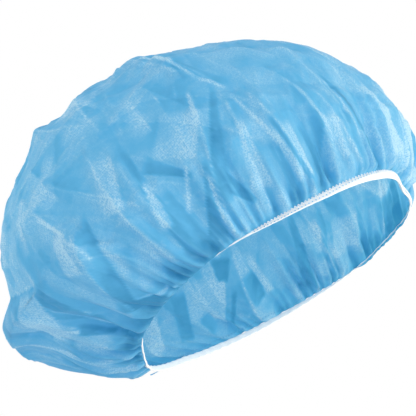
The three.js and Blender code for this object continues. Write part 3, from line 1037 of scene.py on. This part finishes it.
class HAIRNET_OT_stage(bpy.types.Operator):
    """Set up the floor, the light and the camera"""

    bl_idname = "hairnet.stage"
    bl_label = "Stage"

    def execute(self, context):
        scene = context.scene
        stage = scene.hairnet_stage
        mesh = bpy.data.meshes.new("floor")
        half = FLOOR_SIZE / 2
        corners = [(-half, -half, 0), (half, -half, 0), (half, half, 0), (-half, half, 0)]
        mesh.from_pydata(corners, [], [(0, 1, 2, 3)])
        floor = bpy.data.objects.new("floor", mesh)
        floor.location = (0, 0, -stage.floor_drop)
        floor.data.materials.append(matt_paper(scene.hairnet_colours))
        scene.collection.objects.link(floor)
        world = bpy.data.worlds.new("studio")
        world.use_nodes = True
        scene.world = world
        scene.view_settings.view_transform = "Standard"
        back, right, up = self.camera_axes(stage)
        self.light_cove(world.node_tree, -back, stage)
        self.place_camera(scene, stage, back, right, up)
        tints = {"side": stage.side_tint}
        for name, (across, upward, nearer, size) in LIGHTS.items():
            place = right * across + up * upward + back * nearer
            power = getattr(stage, f"{name}_power")
            self.add_light(name, place, size, power, tints.get(name, "#FFFFFF"))
        return {"FINISHED"}

    @staticmethod
    def camera_axes(stage):
        """Unit vectors from the hairnet to the camera, to its right and up."""
        turn, rise = stage.azimuth, stage.elevation
        back = Vector((
            math.sin(turn) * math.cos(rise), -math.cos(turn) * math.cos(rise), math.sin(rise)
        ))
        right = Vector((math.cos(turn), math.sin(turn), 0))
        return back, right, back.cross(right)

    @staticmethod
    def light_cove(tree, bright_side, stage):
        """A studio cove: bright on one side, dimmer all round the rest."""
        place = add_node(tree, "ShaderNodeTexCoord")
        facing = add_node(
            tree, "ShaderNodeVectorMath", {"operation": "DOT_PRODUCT"}, {1: bright_side},
            {0: place.outputs["Generated"]},
        )
        strength = remap(
            tree, facing.outputs["Value"], COVE_EDGE, (stage.fill, 1.0),
            {"interpolation_type": "SMOOTHSTEP"},
        )
        sky = tree.nodes["Background"]
        sky.inputs["Color"].default_value = (1, 1, 1, 1)
        tree.links.new(strength, sky.inputs["Strength"])

    @staticmethod
    def place_camera(scene, stage, back, right, up):
        """Aims the camera so that the opening lies where the photo has it."""
        lens = bpy.data.cameras.new("camera")
        lens.sensor_width = 36.0
        lens.lens = lens.sensor_width * stage.distance / stage.frame_width
        camera = bpy.data.objects.new("camera", lens)
        scene.collection.objects.link(camera)
        pixel = stage.frame_width / PHOTO_WIDTH_PX
        target = right * (PHOTO_WIDTH_PX / 2 - OPENING_PX[0]) * pixel
        target += up * (OPENING_PX[1] - PHOTO_WIDTH_PX / 2) * pixel
        camera.matrix_world = Matrix.Translation(target + back * stage.distance) @ Matrix(
            (right, up, back)
        ).transposed().to_4x4()
        scene.camera = camera

    @staticmethod
    def add_light(name, place, size, power, tint):
        """A square light that faces the hairnet."""
        lamp = bpy.data.lights.new(name, "AREA")
        lamp.size = size
        lamp.energy = power
        lamp.color = linear(tint)[:3]
        light = bpy.data.objects.new(name, lamp)
        light.location = place
        light.rotation_euler = (-place).to_track_quat("-Z", "Y").to_euler()
        bpy.context.scene.collection.objects.link(light)


class HAIRNET_PT_panel(bpy.types.Panel):
    """The hairnet's operators and settings"""

    bl_label = "Hairnet"
    bl_idname = "HAIRNET_PT_panel"
    bl_space_type = "VIEW_3D"
    bl_region_type = "UI"
    bl_category = "Hairnet"

    def draw(self, context):
        layout = self.layout
        for operator in OPERATORS:
            layout.operator(operator.bl_idname)
        for group in GROUPS:
            settings = getattr(context.scene, group)
            box = layout.box()
            for name in settings.bl_rna.properties.keys():
                if name not in {"rna_type", "name"}:
                    box.prop(settings, name)


OPERATORS = (HAIRNET_OT_crown, HAIRNET_OT_elastic, HAIRNET_OT_stitching, HAIRNET_OT_stage)
GROUPS = {
    "hairnet_shape": HairnetShape,
    "hairnet_colours": HairnetColours,
    "hairnet_stage": HairnetStage,
}


def register():
    for group in GROUPS.values():
        bpy.utils.register_class(group)
    for name, group in GROUPS.items():
        setattr(bpy.types.Scene, name, bpy.props.PointerProperty(type=group))
    for operator in OPERATORS:
        bpy.utils.register_class(operator)
    bpy.utils.register_class(HAIRNET_PT_panel)


def unregister():
    bpy.utils.unregister_class(HAIRNET_PT_panel)
    for operator in reversed(OPERATORS):
        bpy.utils.unregister_class(operator)
    for name, group in GROUPS.items():
        delattr(bpy.types.Scene, name)
        bpy.utils.unregister_class(group)


def main():
    register()
    bpy.ops.hairnet.crown()
    bpy.ops.hairnet.elastic()
    bpy.ops.hairnet.stitching()
    bpy.ops.hairnet.stage()


if __name__ == "__main__":
    main()
